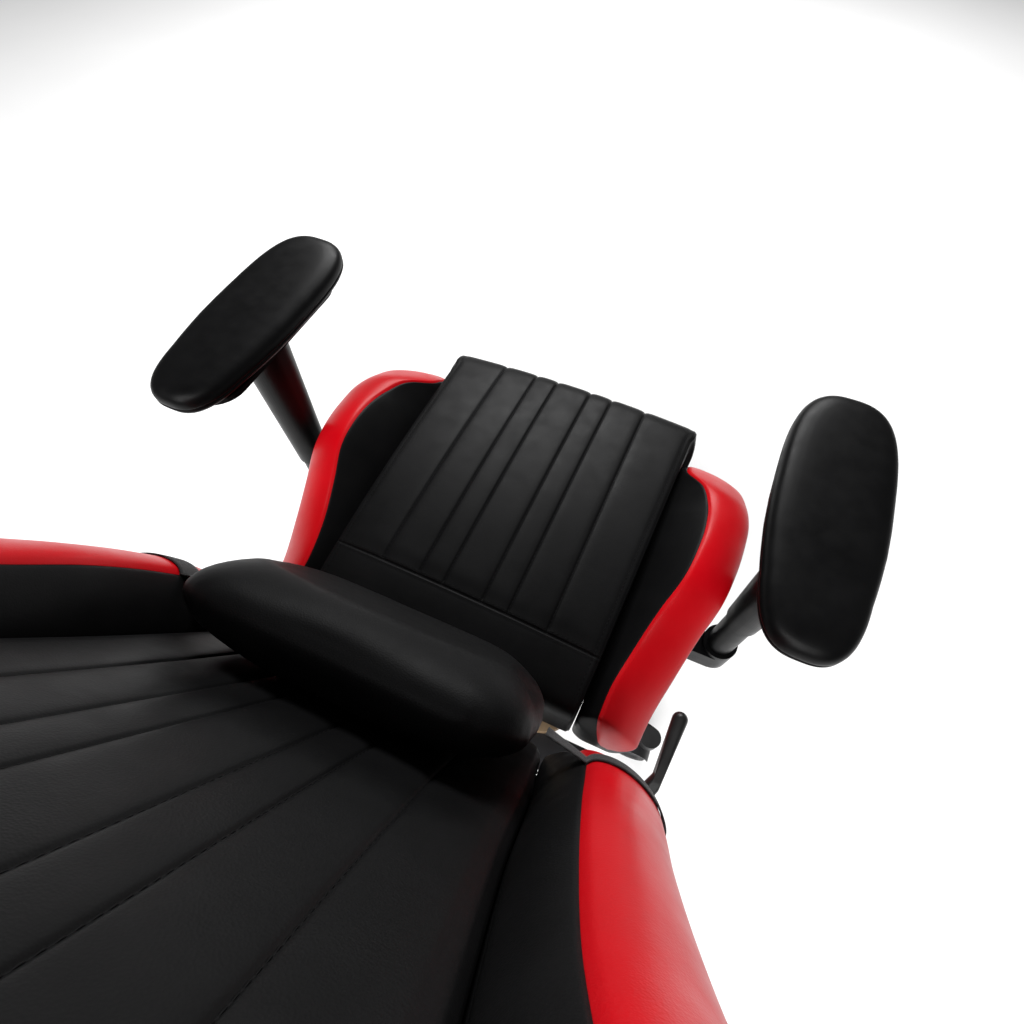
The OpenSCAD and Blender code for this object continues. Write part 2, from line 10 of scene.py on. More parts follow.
import bpy
import numpy as np
from mathutils import Euler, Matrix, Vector


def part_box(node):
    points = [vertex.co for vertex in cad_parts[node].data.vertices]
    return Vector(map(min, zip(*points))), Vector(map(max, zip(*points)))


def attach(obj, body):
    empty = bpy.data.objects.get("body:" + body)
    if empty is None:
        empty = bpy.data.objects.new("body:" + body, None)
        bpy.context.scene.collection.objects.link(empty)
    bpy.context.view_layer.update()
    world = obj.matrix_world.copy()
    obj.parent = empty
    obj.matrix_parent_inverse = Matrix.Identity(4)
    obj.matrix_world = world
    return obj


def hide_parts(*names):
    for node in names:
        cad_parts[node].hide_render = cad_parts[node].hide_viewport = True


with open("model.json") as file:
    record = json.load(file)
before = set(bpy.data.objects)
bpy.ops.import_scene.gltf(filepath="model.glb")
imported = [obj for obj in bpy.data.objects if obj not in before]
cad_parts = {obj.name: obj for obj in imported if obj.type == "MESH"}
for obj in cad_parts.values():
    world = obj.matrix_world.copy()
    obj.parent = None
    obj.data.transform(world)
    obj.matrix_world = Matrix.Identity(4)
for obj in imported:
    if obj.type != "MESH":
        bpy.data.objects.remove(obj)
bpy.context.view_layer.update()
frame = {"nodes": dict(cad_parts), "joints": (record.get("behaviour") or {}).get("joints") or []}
JOINTS = {joint["name"]: joint for joint in frame["joints"]}

# ---------------------------------------------------------------- places taken from the frame

SEAT_LOW, SEAT_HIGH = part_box("seat_cushion")
SEAT_H = SEAT_HIGH[2] - 0.009
HINGE = np.array(JOINTS["back_recline"]["pos_m"], float)
LEAN = math.radians(22)
CROSS_SEAM_Y = 0.130
MILLI = 0.001


# ---------------------------------------------------------------- camera

def place_camera():
    """A wide lens close above the sitter's right shoulder, looking down at the seat."""
    data = bpy.data.cameras.new("camera")
    data.sensor_width = 36.0
    data.lens = 20.288
    data.clip_start = 0.01
    camera = bpy.data.objects.new("camera", data)
    bpy.context.collection.objects.link(camera)
    down, heading, roll = math.radians(59.645), math.radians(23.543), math.radians(0.403)
    # The camera looks along -Z with +Y up; tilting it up from straight down and turning it about Z
    # points it at the seat, with the sitter's forward side away from it.
    turn = Euler((math.pi / 2 - down, 0, math.pi + heading), "XYZ").to_matrix()
    camera.matrix_world = (turn @ Euler((0, 0, roll), "XYZ").to_matrix()).to_4x4()
    camera.location = Vector((-0.1495, 0.3327, SEAT_H + 0.6074))
    bpy.context.scene.camera = camera


place_camera()

# ---------------------------------------------------------------- node materials


class Finish:
    """Short calls for building one node material."""

    def __init__(self, name):
        self.material = bpy.data.materials.new(name)
        self.material.use_nodes = True
        self.nodes = self.material.node_tree.nodes
        self.links = self.material.node_tree.links
        self.nodes.clear()
        self.output = self.nodes.new("ShaderNodeOutputMaterial")
        self.shader = self.nodes.new("ShaderNodeBsdfPrincipled")
        self.links.new(self.shader.outputs["BSDF"], self.output.inputs["Surface"])
        self.place = self.nodes.new("ShaderNodeTexCoord").outputs["Object"]

    def set(self, **values):
        for name, value in values.items():
            self.shader.inputs[name.replace("_", " ")].default_value = value
        return self

    def noise(self, scale, detail=3.0, rough=0.5, source=None):
        node = self.nodes.new("ShaderNodeTexNoise")
        node.inputs["Scale"].default_value = scale
        node.inputs["Detail"].default_value = detail
        node.inputs["Roughness"].default_value = rough
        self.links.new(source or self.place, node.inputs["Vector"])
        return node.outputs["Fac"]

    def cells(self, scale, feature="F1", source=None):
        node = self.nodes.new("ShaderNodeTexVoronoi")
        node.feature = feature
        node.inputs["Scale"].default_value = scale
        self.links.new(source or self.place, node.inputs["Vector"])
        return node.outputs["Distance"]

    def wave(self, scale, direction="X", source=None):
        node = self.nodes.new("ShaderNodeTexWave")
        node.bands_direction = direction
        node.inputs["Scale"].default_value = scale
        node.inputs["Distortion"].default_value = 0.4
        self.links.new(source or self.place, node.inputs["Vector"])
        return node.outputs["Fac"]

    def ramp(self, value, low, high, start=0.3, end=0.7):
        node = self.nodes.new("ShaderNodeMapRange")
        node.inputs["From Min"].default_value = start
        node.inputs["From Max"].default_value = end
        node.inputs["To Min"].default_value = low
        node.inputs["To Max"].default_value = high
        self.links.new(value, node.inputs["Value"])
        return node.outputs["Result"]

    def colours(self, value, first, second, start=0.3, end=0.7):
        node = self.nodes.new("ShaderNodeValToRGB")
        node.color_ramp.elements[0].position = start
        node.color_ramp.elements[0].color = (*first, 1)
        node.color_ramp.elements[1].position = end
        node.color_ramp.elements[1].color = (*second, 1)
        self.links.new(value, node.inputs["Fac"])
        self.links.new(node.outputs["Color"], self.shader.inputs["Base Color"])
        return self

    def roughness(self, value):
        self.links.new(value, self.shader.inputs["Roughness"])
        return self

    def bump(self, *layers):
        """Bump nodes in a chain, each layer given as height, strength and depth in metres."""
        normal = None
        for height, strength, depth in layers:
            node = self.nodes.new("ShaderNodeBump")
            node.inputs["Strength"].default_value = strength
            node.inputs["Distance"].default_value = depth
            self.links.new(height, node.inputs["Height"])
            if normal is not None:
                self.links.new(normal, node.inputs["Normal"])
            normal = node.outputs["Normal"]
        self.links.new(normal, self.shader.inputs["Normal"])
        return self


def leather(name, dark, light, rough, gloss):
    """Synthetic leather: pebbled grain about a millimetre across over faint creases."""
    f = Finish(name)
    f.set(Specular_IOR_Level=gloss)
    f.colours(f.noise(14, 4), dark, light)
    f.roughness(f.ramp(f.noise(40, 3), rough - 0.04, rough + 0.05))
    f.bump((f.noise(9, 2), 0.25, 0.0012), (f.noise(120, 4), 0.20, 0.0004),
           (f.cells(850), 0.30, 0.00022))
    return f.material


def moulded(name, dark, light, rough, grain=0.25, scale=1400, gloss=0.35):
    """Moulded plastic with a fine spark-eroded texture."""
    f = Finish(name)
    f.set(Specular_IOR_Level=gloss)
    f.colours(f.noise(22, 3), dark, light)
    f.roughness(f.ramp(f.noise(60, 3), rough - 0.05, rough + 0.06))
    f.bump((f.noise(scale, 2), grain, 0.00012))
    return f.material


def metal(name, colour, worn, rough):
    """Bare or plated metal, with faint streaks along Z where it is drawn or turned."""
    f = Finish(name)
    f.set(Metallic=1.0)
    f.colours(f.noise(35, 4), colour, worn)
    f.roughness(f.ramp(f.noise(90, 3), rough - 0.05, rough + 0.08))
    f.bump((f.wave(300, "Z"), 0.05, 0.00005), (f.noise(500, 3), 0.10, 0.00005))
    return f.material


def painted(name, dark, light, rough):
    """Powder-coated steel with a light orange-peel surface."""
    f = Finish(name)
    f.set(Coat_Weight=0.15, Coat_Roughness=0.3)
    f.colours(f.noise(18, 3), dark, light)
    f.roughness(f.ramp(f.noise(45, 3), rough - 0.05, rough + 0.08))
    f.bump((f.noise(420, 2), 0.35, 0.00015))
    return f.material


def woven(name, dark, light):
    """Flat woven elastic: crossed ribs."""
    f = Finish(name)
    f.set(Roughness=0.85, Sheen_Weight=0.2)
    f.colours(f.noise(260, 2), dark, light)
    f.bump((f.wave(500, "X"), 0.5, 0.0003), (f.wave(620, "Z"), 0.5, 0.0003))
    return f.material


def plywood(name):
    """Bare plywood: stretched rings of grain."""
    f = Finish(name)
    stretch = f.nodes.new("ShaderNodeMapping")
    stretch.inputs["Scale"].default_value = (14, 1.5, 40)
    f.links.new(f.place, stretch.inputs["Vector"])
    f.colours(f.noise(4, 6, 0.6, stretch.outputs["Vector"]), (0.30, 0.19, 0.10), (0.52, 0.37, 0.22))
    f.set(Roughness=0.7)
    f.bump((f.noise(9, 5, 0.6, stretch.outputs["Vector"]), 0.3, 0.0004))
    return f.material


BLACK_LEATHER = leather("black leather", (0.0038, 0.0038, 0.0040), (0.0060, 0.0060, 0.0063), 0.44, 0.09)
RED_LEATHER = leather("red leather", (0.56, 0.0012, 0.0050), (0.63, 0.0022, 0.0080), 0.36, 0.19)
PILLOW_LEATHER = leather("pillow leather", (0.0030, 0.0030, 0.0032), (0.0050, 0.0050, 0.0053), 0.50,
                         0.08)
BLACK_THREAD = Finish("black thread").set(Base_Color=(0.0022, 0.0022, 0.0024, 1), Roughness=0.6,
                                          Specular_IOR_Level=0.12).material
ARM_PLASTIC = moulded("armrest plastic", (0.0022, 0.0022, 0.0024), (0.0040, 0.0040, 0.0042), 0.34,
                      gloss=0.12)
PAD_SKIN = moulded("armrest pad skin", (0.0022, 0.0022, 0.0024), (0.0036, 0.0036, 0.0038), 0.40,
                   grain=0.35, scale=900, gloss=0.11)
BASE_NYLON = moulded("base nylon", (0.010, 0.010, 0.010), (0.020, 0.020, 0.021), 0.42, 0.3, 1000)
CASTER_NYLON = moulded("caster nylon", (0.012, 0.012, 0.012), (0.022, 0.022, 0.023), 0.34)
TREAD = moulded("caster tread", (0.022, 0.022, 0.023), (0.040, 0.040, 0.042), 0.62)
COVER_PLASTIC = moulded("cover plastic", (0.010, 0.010, 0.010), (0.018, 0.018, 0.018), 0.38)
BUTTON_PLASTIC = moulded("button plastic", (0.03, 0.03, 0.032), (0.045, 0.045, 0.047), 0.45)
FRAME_PAINT = painted("frame paint", (0.014, 0.014, 0.015), (0.024, 0.024, 0.026), 0.45)
TUBE_PAINT = painted("tube paint", (0.012, 0.012, 0.012), (0.018, 0.018, 0.018), 0.35)
ZINC = metal("zinc-plated steel", (0.50, 0.50, 0.52), (0.62, 0.61, 0.58), 0.32)
CHROME = metal("polished cylinder", (0.60, 0.60, 0.62), (0.66, 0.66, 0.67), 0.12)
ELASTIC = woven("woven elastic", (0.010, 0.010, 0.011), (0.022, 0.022, 0.023))
PLYWOOD = plywood("plywood")


def dress(material, *nodes):
    """Gives CAD nodes a material in place of their plain one."""
    for node in nodes:
        slots = frame["nodes"][node].data.materials
        slots.clear()
        slots.append(material)


dress(BASE_NYLON, "base_star")
dress(ZINC, "caster_stems", "tilt_pin", "tension_spring", "tension_bolt", "lever_rod", "seat_bolts",
      "recline_rod")
dress(CHROME, "piston_rod", "column_cylinder")
dress(TUBE_PAINT, "column_tube")
dress(COVER_PLASTIC, "cover_lower", "cover_mid", "cover_upper", "hinge_covers", "tension_knob",
      "lever_grip", "recline_lever")
dress(FRAME_PAINT, "mech_housing", "seat_plate", "seat_rails", "recliner_brackets", "back_frame")
dress(PLYWOOD, "seat_board")
dress(ARM_PLASTIC, "arm_elbow_left", "arm_elbow_right", "arm_posts", "arm_sleeve_left",
      "arm_sleeve_right", "pad_plate_left", "pad_plate_right")
dress(BUTTON_PLASTIC, "arm_button_left", "arm_button_right")
for number in range(1, 6):
    dress(CASTER_NYLON, f"caster_hood_{number}")
    dress(TREAD, f"caster_wheels_{number}")

# ---------------------------------------------------------------- meshes from grids


def grid_faces(rows, cols, wrap=True):
    """Quads between neighbouring points of a rows x cols grid, joined round the columns if wrap."""
    last = cols if wrap else cols - 1
    i, j = np.meshgrid(np.arange(rows - 1), np.arange(last), indexing="ij")
    k = (j + 1) % cols
    return np.stack([i * cols + j, i * cols + k, (i + 1) * cols + k, (i + 1) * cols + j],
                    axis=-1).reshape(-1, 4)


def volume(points, faces):
    """Six times the signed volume of quads, which is negative when they face inwards."""
    a, b, c, d = (points[faces[:, n]] for n in range(4))
    return np.einsum("ij,ij->", a, np.cross(b, c)) + np.einsum("ij,ij->", a, np.cross(c, d))


def make_mesh(name, points, faces, materials, zones=None):
    """One mesh object from points and quads or triangles; zones gives each face's material."""
    mesh = bpy.data.meshes.new(name)
    sizes = np.array([len(face) for face in faces], np.int32)
    mesh.vertices.add(len(points))
    mesh.vertices.foreach_set("co", np.asarray(points, np.float32).ravel())
    mesh.loops.add(int(sizes.sum()))
    mesh.loops.foreach_set("vertex_index", np.concatenate(faces).astype(np.int32))
    mesh.polygons.add(len(sizes))
    mesh.polygons.foreach_set("loop_start", np.r_[0, np.cumsum(sizes)[:-1]].astype(np.int32))
    mesh.polygons.foreach_set("use_smooth", np.ones(len(sizes), bool))
    for material in materials:
        mesh.materials.append(material)
    if zones is not None:
        mesh.polygons.foreach_set("material_index", np.asarray(zones, np.int32))
    mesh.update(calc_edges=True)
    mesh.validate()
    piece = bpy.data.objects.new(name, mesh)
    bpy.context.collection.objects.link(piece)
    return piece


def closed_skin(name, grid, materials, column_zone=None):
    """A skin of rings, one per row, closed at each end by a fan to the ring's centre."""
    rows, cols = grid.shape[:2]
    points = np.concatenate([grid.reshape(-1, 3), grid[0].mean(0)[None], grid[-1].mean(0)[None]])
    quads = grid_faces(rows, cols)
    j = np.arange(cols)
    k = (j + 1) % cols
    first = np.stack([np.full(cols, rows * cols), k, j], axis=1)
    last = np.stack([np.full(cols, rows * cols + 1), (rows - 1) * cols + j, (rows - 1) * cols + k],
                    axis=1)
    if volume(points, quads) < 0:
        quads, first, last = quads[:, ::-1], first[:, ::-1], last[:, ::-1]
    zones = None
    if column_zone is not None:
        zone = np.asarray(column_zone)
        zones = np.concatenate([np.tile(zone, rows - 1), zone, zone])
    return make_mesh(name, points, [*quads, *first, *last], materials, zones)


def open_skin(name, grid, materials):
    """A sheet of quads on a grid that isn't joined round."""
    rows, cols = grid.shape[:2]
    return make_mesh(name, grid.reshape(-1, 3), list(grid_faces(rows, cols, wrap=False)), materials)


def joined_copies(name, points, faces, places, materials):
    """Many copies of one small closed shape; places holds a 3 x 4 matrix for each copy."""
    count = len(places)
    turned = np.einsum("nij,kj->nki", places[:, :, :3], points) + places[:, None, :, 3]
    offsets = (np.arange(count) * len(points))[:, None, None]
    return make_mesh(name, turned.reshape(-1, 3), list((faces[None] + offsets).reshape(-1, 4)),
                     materials)


def normals_2d(loop):
    """Outward unit normals of a closed loop of 2-D points that runs anticlockwise."""
    along = np.roll(loop, -1, 0) - np.roll(loop, 1, 0)
    along /= np.linalg.norm(along, axis=1)[:, None]
    return np.stack([along[:, 1], -along[:, 0]], axis=1)


def even_loop(corners, count, smooth=0):
    """A closed polygon resampled to count evenly spaced points, then averaged to round it."""
    path = np.vstack([corners, corners[:1]])
    step = np.r_[0, np.cumsum(np.linalg.norm(np.diff(path, axis=0), axis=1))]
    at = np.linspace(0, step[-1], count, endpoint=False)
    loop = np.stack([np.interp(at, step, path[:, n]) for n in (0, 1)], axis=1)
    for _ in range(smooth):
        loop = (np.roll(loop, 1, 0) + 2 * loop + np.roll(loop, -1, 0)) / 4
    return loop


def clustered(edges, per_part, power=1.7):
    """Values from the first edge to the last that crowd together near every edge."""
    t = np.linspace(0, 1, per_part, endpoint=False)
    s = np.where(t < 0.5, 0.5 * (2 * t) ** power, 1 - 0.5 * (2 - 2 * t) ** power)
    return np.r_[np.concatenate([a + (b - a) * s for a, b in zip(edges[:-1], edges[1:])]), edges[-1]]


def puff(distance, height, reach):
    """How far a stuffed cover stands up at a distance from its nearest seam."""
    return height * (1 - np.exp(-(distance / reach) ** 1.5))


def stitch_shape(length=0.0040, radius=0.00042):
    """One stitch along +X: a thread that dips into the cover at both ends."""
    t = np.linspace(0, 1, 6)[:, None]
    a = np.linspace(0, 2 * math.pi, 6, endpoint=False)[None, :]
    fat = radius * np.sin(np.pi * (0.12 + 0.76 * t)) ** 0.5
    lift = radius * 0.9 * np.sin(np.pi * t) - radius * 0.4
    grid = np.stack(np.broadcast_arrays((t - 0.5) * length, fat * np.cos(a), fat * np.sin(a) + lift),
                    axis=-1)
    return grid.reshape(-1, 3), grid_faces(6, 6)


def sew(path, normal, pitch=0.0056):
    """Places for stitches at an even pitch along a path, each lying on the cover."""
    step = np.r_[0, np.cumsum(np.linalg.norm(np.diff(path, axis=0), axis=1))]
    at = np.arange(pitch, step[-1] - pitch, pitch)
    spot = np.stack([np.interp(at, step, path[:, n]) for n in range(3)], axis=1)
    ahead = np.stack([np.interp(at + 0.001, step, path[:, n]) for n in range(3)], axis=1) - spot
    up = np.stack([np.interp(at, step, normal[:, n]) for n in range(3)], axis=1)
    x = ahead / np.linalg.norm(ahead, axis=1)[:, None]
    z = up - np.einsum("ij,ij->i", up, x)[:, None] * x
    z /= np.linalg.norm(z, axis=1)[:, None]
    y = np.cross(z, x)
    return np.stack([x, y, z, spot], axis=-1)


STITCH_POINTS, STITCH_FACES = stitch_shape()

# ---------------------------------------------------------------- channelled cushions

# Seams across a middle cushion, as shares of its half width: six channels
CHANNELS = np.array([-0.607, -0.327, -0.144, 0.144, 0.327, 0.607])
SEAM_SHARES = clustered(np.r_[-1, CHANNELS, 1], 22)[1:-1]


def crowd(loop, count, centre, spread, more=6.0):
    """Resamples a closed loop so that its points crowd together near one first coordinate.

    The step between points is inversely proportional to 1 plus a bell of height more round centre.
    """
    path = np.vstack([loop, loop[:1]])
    part = np.linalg.norm(np.diff(path, axis=0), axis=1)
    middle = (path[1:, 0] + path[:-1, 0]) / 2
    step = np.r_[0, np.cumsum(part * (1 + more * np.exp(-((middle - centre) / spread) ** 2)))]
    at = np.linspace(0, step[-1], count, endpoint=False)
    return np.stack([np.interp(at, step, path[:, n]) for n in (0, 1)], axis=1)


def channelled(loop, half, seam_span, cross, place, inner_half=None, corner=0.005, raised=0.0013,
               notch=0.0012, reach=0.005, side_bulge=0.0006):
    """A cushion swept across X from a closed side-view loop.

    Each row is the loop at one share of the half width. The skin stands off the loop by a puff that
    grows with the distance to the nearest seam, less a narrow notch on the seam itself, inside
    seam_span along the loop, and a fine sewn line runs just inside each side. Near the sides the loop
    is drawn in round a quarter circle, then filled in towards its middle. half is the half width as a
    function of the loop's first coordinate, and inner_half the one that the channels follow.
    """
    out = normals_2d(loop)
    wide = half(loop[:, 0])
    typical = np.median(wide)
    to_seam = np.min(np.abs(SEAM_SHARES[:, None] - CHANNELS), axis=1) * typical
    to_side = (1 - np.abs(SEAM_SHARES)) * typical
    stand = puff(np.minimum(to_seam, to_side), raised, reach) - notch * np.exp(-(to_seam / 0.0011) ** 2)
    line = -0.0008 * np.exp(-((to_side - 0.0045) / 0.0008) ** 2)
    across = cross(loop)
    outer = np.clip(normals_2d(loop)[:, 1] * 3, 0, 1)
    height = stand[:, None] * seam_span(loop) + line[:, None] * outer + across
    narrow = wide if inner_half is None else inner_half(loop[:, 0])
    beyond = np.clip((np.abs(SEAM_SHARES) - CHANNELS[-1]) / (1 - CHANNELS[-1]), 0, 1)
    x = SEAM_SHARES[:, None] * narrow + (np.sign(SEAM_SHARES) * beyond)[:, None] * (
        wide - corner - narrow)
    body = np.concatenate([x[..., None], loop + out * height[..., None]], axis=-1)
    p = np.linspace(0, math.pi / 2, 8)[1:, None]
    inset = corner * (1 - np.cos(p)) + 0.0009 * np.exp(-((p - 0.62) / 0.16) ** 2)
    edge = np.concatenate([((wide - corner) + corner * np.sin(p))[..., None],
                           loop + out * (across * np.cos(p) - inset)[..., None]], axis=-1)
    base = loop - out * corner
    low, high = loop.min(0), loop.max(0)
    slim = min(high - low) / 2
    core = np.clip(base, low + slim, high - slim)
    t = np.array([0.12, 0.3, 0.5, 0.7, 0.85])[:, None]
    bulged = wide + side_bulge * np.sin(math.pi / 2 * np.minimum(1, t / 0.7))
    wall = np.concatenate([bulged[..., None], base + (core - base) * t[..., None]], axis=-1)
    side = np.concatenate([edge, wall])
    other = side[::-1] * (-1, 1, 1)
    return place(np.concatenate([other, body, side]))


# Rows of a channelled skin that make up one rounded edge and its wall
SIDE_ROWS = 12


def seam_row(share):
    """The row of a channelled skin that lies nearest to a share of its half width."""
    return SIDE_ROWS + int(np.argmin(np.abs(SEAM_SHARES - share)))


def seat_half(y):
    """Half width of the middle cushion, a little wider at the front."""
    return 0.1669 + (CROSS_SEAM_Y - y) * 0.042


def free_front(y):
    """0 along the bolsters, rising to 1 on the part of the cushion that stands out before them."""
    t = np.clip((-0.207 - y) / 0.016, 0, 1)
    return t * t * (3 - 2 * t)


def loose_half(y):
    """Half width of the cushion's cover, which spreads where no bolster holds it in."""
    return seat_half(y) + 0.0030 * free_front(y)


def channel_half(y):
    """Half width that the seat's channels follow: they widen less than the cushion does."""
    return 0.1705 + (CROSS_SEAM_Y - y) * 0.018


def seat_side_view():
    """Side-view loop of the middle cushion: gently falling top, rolled front, flat underside."""
    low = SEAT_LOW[2]
    y = np.linspace(0.190, -0.222, 40)
    top = SEAT_H - 0.028 * np.clip((CROSS_SEAM_Y - y) / 0.359, 0, 2) ** 2 - 0.004 * np.clip(
        (y - CROSS_SEAM_Y) / 0.06, 0, 2) ** 2
    front, back = SEAT_LOW[1] + 0.003, SEAT_HIGH[1] - 0.001
    corners = np.vstack([
        np.column_stack([y, top]),
        [[-0.238, SEAT_H - 0.034], [front, SEAT_H - 0.046], [front + 0.003, low + 0.02],
         [front + 0.014, low], [back - 0.012, low], [back, low + 0.012], [back, SEAT_H - 0.02],
         [back - 0.004, SEAT_H - 0.008]]])
    return crowd(even_loop(corners, 900, 60), 520, CROSS_SEAM_Y + 0.002, 0.014)


def on_top(loop):
    """1 on the top and the rolled front, falling to 0 on the underside and the rear end."""
    out = normals_2d(loop)
    front = (loop[:, 0] < -0.20) & (loop[:, 1] > SEAT_LOW[2] + 0.015)
    return np.where(front & (out[:, 1] > -0.4), 1.0, np.clip(out[:, 1] * 3, 0, 1))


def cross_seam(loop):
    """The seam across the seat: a notch, with the rear panel's rolled lip just behind it."""
    gap = loop[:, 0] - CROSS_SEAM_Y
    notch = -0.0020 * np.exp(-(gap / 0.0013) ** 2)
    lip = 0.0008 * np.exp(-((gap - 0.0032) / 0.0020) ** 2)
    sag = -0.0012 * np.exp(-((gap + 0.006) / 0.009) ** 2)
    return np.where(loop[:, 1] > SEAT_H - 0.04, notch + lip + sag, 0.0)


def seat_seams(loop):
    """Channels run from the cross seam forward and down the front; the rear panel is plain."""
    ahead = 1 / (1 + np.exp(np.clip((loop[:, 0] - CROSS_SEAM_Y + 0.002) / 0.0012, -50, 50)))
    return on_top(loop) * ahead


def crowned(grid):
    """Raises the middle of the cushion by 9 mm, fading out at its sides, and slants the cross seam."""
    share = np.clip(1 - (grid[..., 0] / 0.174) ** 2, 0, 1)
    high = np.clip((grid[..., 2] - SEAT_LOW[2] - 0.02) / 0.05, 0, 1)
    raised = grid.copy()
    raised[..., 2] += 0.009 * share * high
    slant = -0.0005 - 0.024 * grid[..., 0]
    raised[..., 1] += slant * np.exp(-((grid[..., 1] - CROSS_SEAM_Y) / 0.045) ** 2) * high
    return raised


def grid_normals(grid):
    """Unit normals of a grid of points, pointing up or forward."""
    u, v = np.gradient(grid, axis=0), np.gradient(grid, axis=1)
    n = np.cross(u, v)
    n /= np.linalg.norm(n, axis=-1)[..., None] + 1e-12
    return n * np.sign((n * (0, -0.5, 1)).sum(-1))[..., None]


def finish_soft(piece, body, slot, *nodes, fill=0.95):
    """Parents a padded piece to its body and hides its CAD solids; the finish slot is not used."""
    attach(piece, body)
    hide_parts(*nodes)


def make_seat():
    loop = seat_side_view()
    grid = channelled(loop, loose_half, seat_seams, cross_seam, crowned, channel_half,
                      side_bulge=0.0013 + 0.0032 * free_front(loop[:, 0]))
    finish_soft(closed_skin("seat_cover", grid, [BLACK_LEATHER]), "seat", "black_leather",
                "seat_cushion")
    normal = grid_normals(grid)
    ahead = (loop[:, 0] < CROSS_SEAM_Y - 0.003) & (on_top(loop) > 0.95) & (loop[:, 0] > -0.2445)
    top = (on_top(loop) > 0.95) & (loop[:, 0] < 0.188) & (loop[:, 0] > -0.236)
    places = [sew(grid[seam_row(c)][ahead], normal[seam_row(c)][ahead]) for c in CHANNELS]
    places += [sew(grid[seam_row(s)][top], normal[seam_row(s)][top]) for s in (-0.974, 0.974)]
    column = int(np.argmin(np.abs(loop[:, 0] - CROSS_SEAM_Y + 0.0036) + (loop[:, 1] < SEAT_H - 0.03)))
    across = slice(SIDE_ROWS + 2, -SIDE_ROWS - 2)
    places.append(sew(grid[across, column], normal[across, column]))
    stitches = joined_copies("seat_stitches", STITCH_POINTS, STITCH_FACES, np.concatenate(places),
                             [BLACK_THREAD])
    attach(stitches, "seat")


make_seat()


# ---------------------------------------------------------------- bolsters

def smooth_rows(table, at):
    """Values between table rows on a curve through them, with slopes from their neighbours."""
    table = np.asarray(table, float)
    x, v = table[:, 0], table[:, 1:]
    slope = np.gradient(v, x, axis=0)
    at = np.clip(at, x[0], x[-1])
    k = np.clip(np.searchsorted(x, at, side="right") - 1, 0, len(x) - 2)
    h = (x[k + 1] - x[k])[:, None]
    t = ((at - x[k])[:, None] / h)
    return ((2 * t ** 3 - 3 * t ** 2 + 1) * v[k] + (t ** 3 - 2 * t ** 2 + t) * h * slope[k]
            + (3 * t ** 2 - 2 * t ** 3) * v[k + 1] + (t ** 3 - t ** 2) * h * slope[k + 1])


def stretch_of_cover(a, b, count, bulge, power=0.75):
    """Points from a to b for every row, standing off the straight line by a domed bulge.

    Points crowd towards both ends, where the cover turns down sharply into its seams.
    """
    t = clustered([0, 1], count, 1.6)[:-1]
    line = a[:, None] + (b - a)[:, None] * t[None, :, None]
    chord = b - a
    length = np.linalg.norm(chord, axis=1)[:, None]
    out = np.stack([-chord[:, 1], chord[:, 0]], axis=1) / np.maximum(length, 1e-6)
    dome = (4 * t * (1 - t)) ** power
    edge = np.minimum(t, 1 - t)[None, :] * length
    tuck = -0.0016 * np.exp(-(edge / 0.0013) ** 2)
    stand = np.asarray(bulge)[:, None] * dome[None, :] + tuck
    return line + stand[..., None] * out[:, None, :]


def bolster_rings(corners, bulges):
    """Rings of a bolster, each through foot, wall, inner seam, outer seam and underside.

    corners holds those five 2-D points for every row, and bulges how far the inner panel, the roll
    and the outer panel are domed. Gives the rings and each column's material.
    """
    foot, wall, inner, outer, under = corners
    flat = np.zeros(len(foot))
    parts = [stretch_of_cover(foot, wall, 10, flat), stretch_of_cover(wall, inner, 34, bulges[0]),
             stretch_of_cover(inner, outer, 54, bulges[1], 0.6),
             stretch_of_cover(outer, under, 30, bulges[2]), stretch_of_cover(under, foot, 10, flat)]
    zones = np.concatenate([np.full(part.shape[1], zone) for part, zone in zip(parts, (0, 0, 1, 0, 0))])
    return np.concatenate(parts, axis=1), zones


def round_ends(rings, middle, rows, near, far):
    """Shrinks rings towards middle on a quarter circle within near and far metres of the two ends."""
    start, end = np.clip((rows - rows[0]) / near, 0, 1), np.clip((rows[-1] - rows) / far, 0, 1)
    full = np.sqrt(1 - (1 - start) ** 2) * np.sqrt(1 - (1 - end) ** 2)
    return middle[:, None] + (rings - middle[:, None]) * (0.25 + 0.75 * full)[:, None, None]


# Seat bolster by Y: inner seam x and height over the seat, outer seam x and height
SEAT_BOLSTER = [
    [-0.209, 0.190, -0.090, 0.206, -0.095], [-0.201, 0.189, -0.066, 0.221, -0.072],
    [-0.182, 0.189, -0.042, 0.240, -0.048], [-0.155, 0.190, -0.019, 0.260, -0.026],
    [-0.125, 0.211, 0.003, 0.272, -0.016], [-0.095, 0.222, 0.012, 0.278, -0.008],
    [-0.060, 0.226, 0.023, 0.279, -0.005], [-0.020, 0.225, 0.030, 0.277, -0.004],
    [0.020, 0.220, 0.029, 0.272, -0.010], [0.060, 0.208, 0.017, 0.261, -0.022],
    [0.110, 0.196, 0.001, 0.250, -0.040], [0.160, 0.187, -0.004, 0.240, -0.056],
    [0.200, 0.186, -0.010, 0.236, -0.064]]


